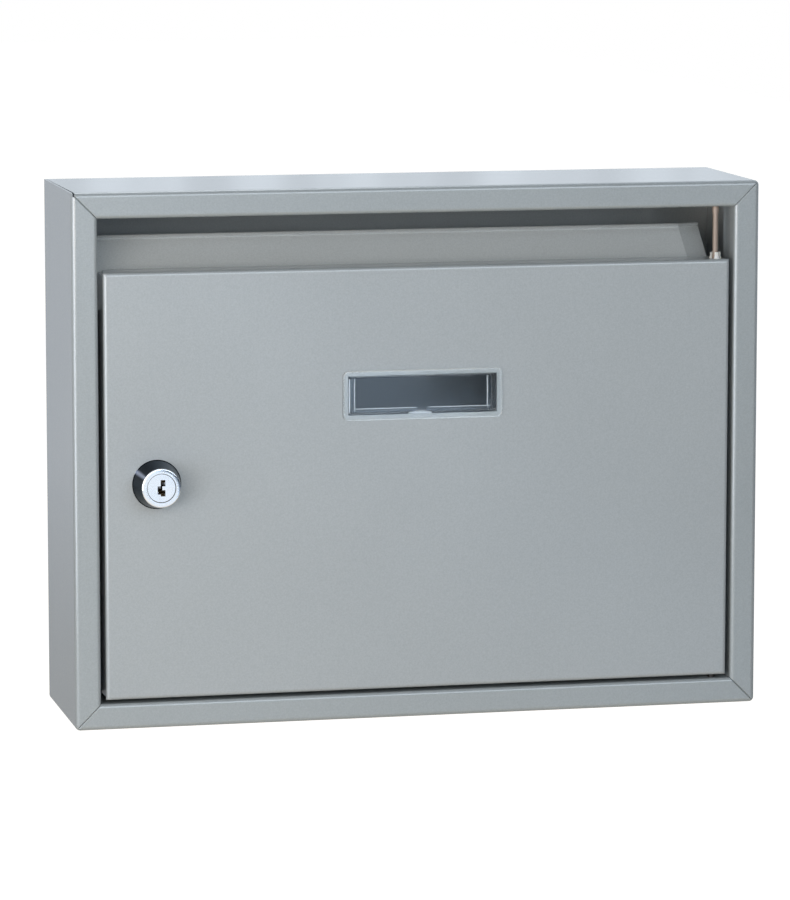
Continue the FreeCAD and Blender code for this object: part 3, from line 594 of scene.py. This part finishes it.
turn = np.linspace(np.pi / 2 - LUG_HALF_TURN, np.pi / 2 + LUG_HALF_TURN, LUG_STEPS)[:, None]
lug_r = np.array([LUG_IN, LUG_OUT, LUG_OUT, LUG_IN]) + 0.0 * turn
lug_y = BARREL_END + np.array([0.0, 0.0, LUG_LONG, LUG_LONG]) + 0.0 * turn
rows = np.stack((LOCK_X + lug_r * np.cos(turn), lug_y, LOCK_Z + lug_r * np.sin(turn)), -1)
ends = rows[[0, -1]].mean(1, keepdims=True) + 0.0 * rows[[0, -1]]
points = np.concatenate((ends[:1], rows, ends[1:]))
lug_mesh = skin("lock_body_stop_lug", points, hollow=False)
stand_in(lug_mesh, "lock_body", "door_leaf", "chrome", black_nickel)

# %% [markdown]
# The nut and the screw's head are hexagons whose corners are turned off by a cone. Along each column the edge
# of the cone reaches down by the hexagon's excess over the face circle, times the tangent of thirty degrees,
# which draws the curved chamfer lines that every nut has.

# %% Lock nut
HEX_CHAMFER = math.tan(math.radians(30))
NUT_COLUMNS = 192
NUT_PLAY = 0.05 * MM
NUT_CIRCLE = 0.96
NUT_LEAD = 0.4 * MM
MOUTH_PLAY = 0.3 * MM


def hex_radius(angle, flats):
    """Radius of a hexagon with a corner at angle 0: half the width over flats divided by the cosine of the
    angle from the middle of the nearest side."""
    return flats / 2 / np.cos(angle % (np.pi / 3) - np.pi / 6)


(_, nut_front, nut_bottom), (_, nut_rear, nut_top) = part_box("lock_nut")
angle = column_angles(NUT_COLUMNS)
ones = np.ones(NUT_COLUMNS)
flats = nut_top - nut_bottom
corner = hex_radius(angle, flats)
circle = NUT_CIRCLE * flats / 2
drop = (corner - circle) * HEX_CHAMFER
bore_y = np.arange(nut_rear - NUT_LEAD, nut_front + NUT_LEAD, -BARREL_PITCH / THREAD_STEPS)
bore = thread(bore_y[:, None], angle, BARREL_R + NUT_PLAY, BARREL_PITCH, BARREL_THREAD)
mouth = BARREL_R + MOUTH_PLAY
outside = [mouth * ones, circle * ones, corner, corner, circle * ones, mouth * ones]
ends = [nut_front * ones, nut_front * ones, nut_front + drop,
        nut_rear - drop, nut_rear * ones, nut_rear * ones]
nut_mesh = turned("lock_nut_chamfered", np.concatenate((outside, bore)),
                  np.concatenate((ends, bore_y[:, None] * ones)))
stand_in(nut_mesh, "lock_nut", "door_leaf", "zinc_plated_steel", zinc)

# %% Cam screw
SCREW_COLUMNS = 96
SCREW_R = 2.5 * MM
SCREW_PITCH = 0.8 * MM
SCREW_THREAD = 0.4 * MM
SCREW_TIP_R = 1.9 * MM
SCREW_CIRCLE = 0.95

(_, screw_tip, screw_bottom), (_, screw_rear, screw_top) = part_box("cam_screw")
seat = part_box("cam_spring_washer")[1][1]
angle = column_angles(SCREW_COLUMNS)
ones = np.ones(SCREW_COLUMNS)
flats = screw_top - screw_bottom
corner = hex_radius(angle, flats)
circle = SCREW_CIRCLE * flats / 2
drop = (corner - circle) * HEX_CHAMFER
shank_y = np.arange(screw_tip, seat, SCREW_PITCH / THREAD_STEPS)
shank = thread(shank_y[:, None], angle, SCREW_R, SCREW_PITCH, SCREW_THREAD)
shank = np.minimum(shank, SCREW_TIP_R + (shank_y - screw_tip)[:, None])
head = [SCREW_R * ones, corner, corner, circle * ones, 0.0 * ones]
ends = [seat * ones, seat * ones, screw_rear - drop, screw_rear * ones, screw_rear * ones]
screw_mesh = turned("cam_screw_threaded", np.concatenate(([0.0 * ones], shank, head)),
                    np.concatenate(([screw_tip * ones], shank_y[:, None] * ones, ends)), hollow=False)
stand_in(screw_mesh, "cam_screw", "lock_core", "zinc_plated_steel", zinc)

# %% [markdown]
# The washer under the nut bites with twisted teeth. Its outer edge swings in and out with the angle, and the
# same wave, a quarter tooth later, lifts one side of each tooth and lowers the other.

# %% Tooth washer
TEETH = 16
TOOTH_COLUMNS = TEETH * 16
TOOTH_DEPTH = 1.5 * MM
TOOTH_TWIST = 0.14 * MM
TOOTH_STEEP = 2.2
ROOT_SHARE = 1.2

low, high = (np.array(corner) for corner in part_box("lock_tooth_washer"))
washer_r = (high[0] - low[0]) / 2
angle = column_angles(TOOTH_COLUMNS)
ones = np.ones(TOOTH_COLUMNS)
tooth = np.clip(TOOTH_STEEP * np.cos(TEETH * angle), -1.0, 1.0)
twist = TOOTH_TWIST * np.sin(TEETH * angle)
outer = washer_r - TOOTH_DEPTH * (1 - tooth) / 2
inner = BARREL_R + MOUTH_PLAY
root = washer_r - TOOTH_DEPTH * ROOT_SHARE
front, rear = low[1] + TOOTH_TWIST, high[1] - TOOTH_TWIST
radius = np.stack((inner * ones, root * ones, outer, outer, root * ones, inner * ones))
along = np.stack((front * ones, front * ones, front + twist, rear + twist, rear * ones, rear * ones))
washer_mesh = turned("tooth_washer_twisted", radius, along)
stand_in(washer_mesh, "lock_tooth_washer", "door_leaf", "zinc_plated_steel", zinc)

# %% [markdown]
# ## Hinge rod and bushes
# The rod is drawn steel wire with a thin wash of copper, which wears to a dull greyish tan. Drawing leaves
# fine lines along the wire, so the noise is squeezed across it and stretched along it. From the top of the
# lower bush down, the rod is drawn dark: painted shade for the gap under the door, where it lies in
# shadow. The two tones blend over two millimetres of height.
# The bushes are moulded in natural nylon, which lets a little light into its surface.

# %% Coppered wire
DRAW_ACROSS_MM = 0.12
DRAW_ALONG_MM = 30.0
DRAW_HEIGHT_MM = 0.006
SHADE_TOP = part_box("hinge_bush_lower")[1][2]
SHADE_BLEND = 2 * MM

wire, tree = new_material("copper_washed_drawn_wire")
place = node(tree, "TexCoord").outputs["Object"]
across = 1 / (DRAW_ACROSS_MM * MM)
drawn = node(tree, "Mapping", Vector=place, Scale=(across, across, 1 / (DRAW_ALONG_MM * MM)))
lines = node(tree, "TexNoise", Vector=drawn.outputs[0], Scale=1.0, Detail=2.0)
tint = node(tree, "MixRGB", Fac=lines.outputs[0], Color1=linear("8A7A6E"), Color2=linear("AA9A8E"))
bump = node(tree, "Bump", Height=lines.outputs[0], Distance=DRAW_HEIGHT_MM * MM, Strength=1.0)
height = node(tree, "SeparateXYZ", Vector=place).outputs["Z"]
# Below the lower bush's top the rod turns dark: painted shade for the gap under the door.
above_shade = node(tree, "MapRange", SMOOTH, Value=height, From_Min=SHADE_TOP - SHADE_BLEND, From_Max=SHADE_TOP)
painted_shade = node(tree, "MixRGB", Fac=above_shade.outputs[0], Color1=linear("2B2724"), Color2=tint.outputs[0])
steel = node(tree, "BsdfPrincipled", Base_Color=painted_shade.outputs[0], Metallic=0.3, Roughness=0.5,
             Normal=bump.outputs[0])
node(tree, "OutputMaterial", Surface=steel.outputs[0])
dress(wire, "hinge_rod")

# %% Nylon
MILK_MM = 1.5
MILK_HEIGHT_MM = 0.01

nylon, tree = new_material("natural_nylon_moulded")
place = node(tree, "TexCoord").outputs["Object"]
milk = node(tree, "TexNoise", Vector=place, Scale=1 / (MILK_MM * MM), Detail=2.0)
tint = node(tree, "MixRGB", Fac=milk.outputs[0], Color1=linear("DEDDD6"), Color2=linear("F0EFEA"))
bump = node(tree, "Bump", Height=milk.outputs[0], Distance=MILK_HEIGHT_MM * MM, Strength=1.0)
moulded = node(tree, "BsdfPrincipled", Base_Color=tint.outputs[0], Roughness=0.42, IOR=1.53,
               Subsurface_Weight=0.25, Subsurface_Radius=(0.6, 0.5, 0.4), Subsurface_Scale=1.0 * MM,
               Normal=bump.outputs[0])
node(tree, "OutputMaterial", Surface=moulded.outputs[0])
dress(nylon, "hinge_bush_upper", "hinge_bush_lower")

# %% [markdown]
# ## Clear name holder
# The holder is one moulding of clear acrylic: a plate with a round-shouldered rim on the door, and behind it
# a pocket for the name card, pressed through the door's window. The dark field is the empty box seen through
# it. The real room is so wide that little of its light finds the way in through the window; the softboxes
# here are smaller, so the pane at the back of the plate lets only a part of their light pass.

# %% Clear acrylic
SWELL_MM = 14.0
SWELL_HEIGHT_MM = 0.02


def clear_acrylic(name, passes):
    """Clear moulded plastic that lets a given colour of lamp light through its shadow."""
    material, tree = new_material(name)
    place = node(tree, "TexCoord").outputs["Object"]
    swell = node(tree, "TexNoise", Vector=place, Scale=1 / (SWELL_MM * MM), Detail=1.0)
    bump = node(tree, "Bump", Height=swell.outputs[0], Distance=SWELL_HEIGHT_MM * MM, Strength=1.0)
    haze = node(tree, "MapRange", Value=swell.outputs[0], To_Min=0.02, To_Max=0.06)
    clear = node(tree, "BsdfPrincipled", Base_Color=linear("F6F6F5"), Roughness=haze.outputs[0], IOR=1.49,
                 Transmission_Weight=1.0, Normal=bump.outputs[0])
    shine = node(tree, "BsdfTransparent", Color=linear(passes))
    shadow = node(tree, "LightPath").outputs["Is Shadow Ray"]
    mix = node(tree, "MixShader", in0=shadow, in1=clear.outputs[0], in2=shine.outputs[0])
    node(tree, "OutputMaterial", Surface=mix.outputs[0])
    return material


rim_acrylic = clear_acrylic("clear_acrylic_moulded_rim", "B2B6B8")
pane_acrylic = clear_acrylic("clear_acrylic_moulded_pane", "6A6E72")
print("mixed", rim_acrylic.name, "and", pane_acrylic.name)

# %% [markdown]
# Every section of the holder across its depth is a rectangle with round corners, so it is built from rings:
# each ring is the outline for one half width, half height, corner radius and depth. The rings run from the
# middle of the front over the shoulder and the rim's side to the door, back along the pocket's outside and
# home along its inside.

# %% Holder built from rings
HOLDER_GAP = 0.02 * MM
SHOULDER = 0.7 * MM
SHOULDER_STEPS = 6
FLAT_EDGE = 0.1 * MM
CORNER_STEPS = 9
CORNER_R = 2.6 * MM
POCKET_X = 34.5 * MM
POCKET_Z = 8.7 * MM
POCKET_R = 0.5 * MM
POCKET_WALL = 0.8 * MM

low, high = (np.array(corner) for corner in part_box("name_holder"))
HOLDER_X, _, HOLDER_Z = (low + high) / 2
half_x, half_z = (high[0] - low[0]) / 2, (high[2] - low[2]) / 2
inner_x, inner_z = POCKET_X - POCKET_WALL, POCKET_Z - POCKET_WALL
seat_y = DOOR_FACE - HOLDER_GAP


def ringed(name, centre_x, centre_z, rings, row_finish=None):
    """Closed surface from rings of half width, half height, corner radius and depth, in metres. A point on a
    ring is the middle of its corner's circle plus the radius times cosine and sine, a quarter turn for each
    corner."""
    wide, tall, corner, depth = np.array(rings).T[:, :, None]
    quarter = np.linspace(0.0, np.pi / 2, CORNER_STEPS)
    angle = (np.arange(4)[:, None] * np.pi / 2 + quarter).ravel()
    to_x = np.repeat((1, -1, -1, 1), CORNER_STEPS)
    to_z = np.repeat((1, 1, -1, -1), CORNER_STEPS)
    x = centre_x + to_x * (wide - corner) + corner * np.cos(angle)
    z = centre_z + to_z * (tall - corner) + corner * np.sin(angle)
    return skin(name, np.stack((x, depth + 0.0 * x, z), -1), hollow=False, row_finish=row_finish)


turn = np.linspace(0.0, np.pi / 2, SHOULDER_STEPS)
flat_in = SHOULDER + FLAT_EDGE
rings = [(0.0, 0.0, 0.0, low[1]), (half_x - flat_in, half_z - flat_in, CORNER_R - SHOULDER, low[1])]
for inset, back in zip(SHOULDER * (1 - np.sin(turn)), SHOULDER * (1 - np.cos(turn))):
    rings.append((half_x - inset, half_z - inset, CORNER_R - inset, low[1] + back))
rings += [
    (half_x, half_z, CORNER_R, seat_y),
    (POCKET_X, POCKET_Z, POCKET_R, seat_y),
    (POCKET_X, POCKET_Z, POCKET_R, high[1]),
    (inner_x, inner_z, POCKET_R, high[1]),
    (inner_x, inner_z, POCKET_R, DOOR_FACE),
    (0.0, 0.0, 0.0, DOOR_FACE),
]
pane = np.zeros(len(rings), dtype=int)
pane[-2:] = 1
holder_mesh = ringed("name_holder_moulded", HOLDER_X, HOLDER_Z, rings, pane)
stand_in(holder_mesh, "name_holder", "door_leaf", "clear_plastic", rim_acrylic, pane_acrylic)

# %% [markdown]
# Inside the pocket a lip down each side and two low ledges along the bottom hold the card. They are flat bars
# with round corners, so the same rings make them. Each row holds name, middle, half sizes and front.

# %% Lips and ledges
LIP_HALF = 1.3 * MM
LIP_FRONT = 3.2 * MM
LIP_T = 0.9 * MM
LEDGE_HALF = 15.0 * MM
LEDGE_TALL = 0.9 * MM
LEDGE_MIDDLE = 17.1 * MM
LEDGE_FRONT = 0.8 * MM

lip_y, ledge_y = DOOR_FACE + LIP_FRONT, DOOR_FACE + LEDGE_FRONT
lip_middle = inner_x - LIP_HALF
ledge_z = HOLDER_Z - inner_z + LEDGE_TALL
BARS = (
    ("name_holder_lip_left", HOLDER_X - lip_middle, HOLDER_Z, LIP_HALF, inner_z, lip_y),
    ("name_holder_lip_right", HOLDER_X + lip_middle, HOLDER_Z, LIP_HALF, inner_z, lip_y),
    ("name_holder_ledge_left", HOLDER_X - LEDGE_MIDDLE, ledge_z, LEDGE_HALF, LEDGE_TALL, ledge_y),
    ("name_holder_ledge_right", HOLDER_X + LEDGE_MIDDLE, ledge_z, LEDGE_HALF, LEDGE_TALL, ledge_y),
)
for name, x, z, wide, tall, front in BARS:
    rings = [(0.0, 0.0, 0.0, front), (wide, tall, POCKET_R, front), (wide, tall, POCKET_R, front + LIP_T),
             (0.0, 0.0, 0.0, front + LIP_T)]
    stand_in(ringed(name, x, z, rings), "name_holder", "door_leaf", "clear_plastic", rim_acrylic)

# %% [markdown]
# Clear plastic pipes the light that falls on its face along to its edges, where the mould's grain scatters
# it, so the edges of the pocket, lips and ledges stand out as white lines and the thumb notch as a white half
# moon. The edges are drawn as white grained plastic, and their little glow is painted light: no lamp sends
# it, and it stands for the light that was piped.

# %% Frosted edge with painted glow
GRAIN_MM = 0.4

frosted, tree = new_material("clear_acrylic_frosted_edge")
place = node(tree, "TexCoord").outputs["Object"]
grain = node(tree, "TexNoise", Vector=place, Scale=1 / (GRAIN_MM * MM), Detail=2.0)
tint = node(tree, "MixRGB", Fac=grain.outputs[0], Color1=linear("B4BEC6"), Color2=linear("DCE4EA"))
# The emission is painted light, a glow that stands for the light piped to the edges.
rough = node(tree, "BsdfPrincipled", Base_Color=tint.outputs[0], Roughness=0.45, IOR=1.49,
             Emission_Color=tint.outputs[0], Emission_Strength=0.14)
node(tree, "OutputMaterial", Surface=rough.outputs[0])
print("mixed", frosted.name)

# %% [markdown]
# Each white line is a bead: a straight path of points with a radius at each, and circles round the path.
# Each row holds name, start and end from the holder's middle, radius and the power that shapes the bead: a
# low one keeps it a rod to its ends, and the notch's higher one makes it a half moon in the door's face.

# %% Beads along the edges
BEAD_COLUMNS = 10
BEAD_STEPS = 33
ROD, MOON = 0.08, 0.5
WALL_IN = 0.3 * MM
NOTCH_IN = 1.4 * MM
NOTCH_LEFT, NOTCH_RIGHT = -6.6 * MM, 4.6 * MM
NOTCH_R = 1.1 * MM
WALL_R, LEFT_LIP_R, RIGHT_LIP_R, LEDGE_R = 0.34 * MM, 0.30 * MM, 0.32 * MM, 0.22 * MM
ALONG_Y = np.array((0.0, 1.0, 0.0))


def bead(name, start, end, radius, power):
    """Round bead along a straight path. At the share s of the way, from -1 to 1, its radius is the given one
    times the power of one minus s squared: a high power gives a spindle, a low one a rod with round ends."""
    share = np.linspace(-1.0, 1.0, BEAD_STEPS)[:, None, None]
    way = (end - start) / np.linalg.norm(end - start)
    side = np.cross(way, ALONG_Y)
    angle = column_angles(BEAD_COLUMNS)[:, None]
    ring = np.cos(angle) * side + np.sin(angle) * ALONG_Y
    points = (start + end) / 2 + share * (end - start) / 2 + radius * (1 - share ** 2) ** power * ring
    return skin(name, points, hollow=False)


wall_y, notch_y = DOOR_FACE + WALL_IN, DOOR_FACE + NOTCH_IN
wall_x, lip_x = inner_x + POCKET_WALL / 2, inner_x - 2 * LIP_HALF
ledge_top = ledge_z + LEDGE_TALL - HOLDER_Z
near, far = LEDGE_MIDDLE - LEDGE_HALF, LEDGE_MIDDLE + LEDGE_HALF
EDGES = (
    ("wall_left", (-wall_x, wall_y, -inner_z), (-wall_x, wall_y, inner_z), WALL_R, ROD),
    ("lip_left", (-lip_x, lip_y, -inner_z), (-lip_x, lip_y, inner_z), LEFT_LIP_R, ROD),
    ("lip_right", (lip_x, lip_y, -inner_z), (lip_x, lip_y, inner_z), RIGHT_LIP_R, ROD),
    ("ledge_left", (-far, ledge_y, ledge_top), (-near, ledge_y, ledge_top), LEDGE_R, ROD),
    ("ledge_right", (near, ledge_y, ledge_top), (far, ledge_y, ledge_top), LEDGE_R, ROD),
    ("thumb_notch", (NOTCH_LEFT, notch_y, -POCKET_Z), (NOTCH_RIGHT, notch_y, -POCKET_Z), NOTCH_R, MOON),
)
for name, start, end, radius, power in EDGES:
    start, end = (np.array(p) + (HOLDER_X, 0.0, HOLDER_Z) for p in (start, end))
    mesh = bead("name_holder_edge_" + name, start, end, radius, power)
    stand_in(mesh, "name_holder", "door_leaf", "clear_plastic", frosted)

# %% Sizes and the end
low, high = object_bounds()
print("dressed model fills", [round((b - a) / MM, 1) for a, b in zip(low, high)], "mm")
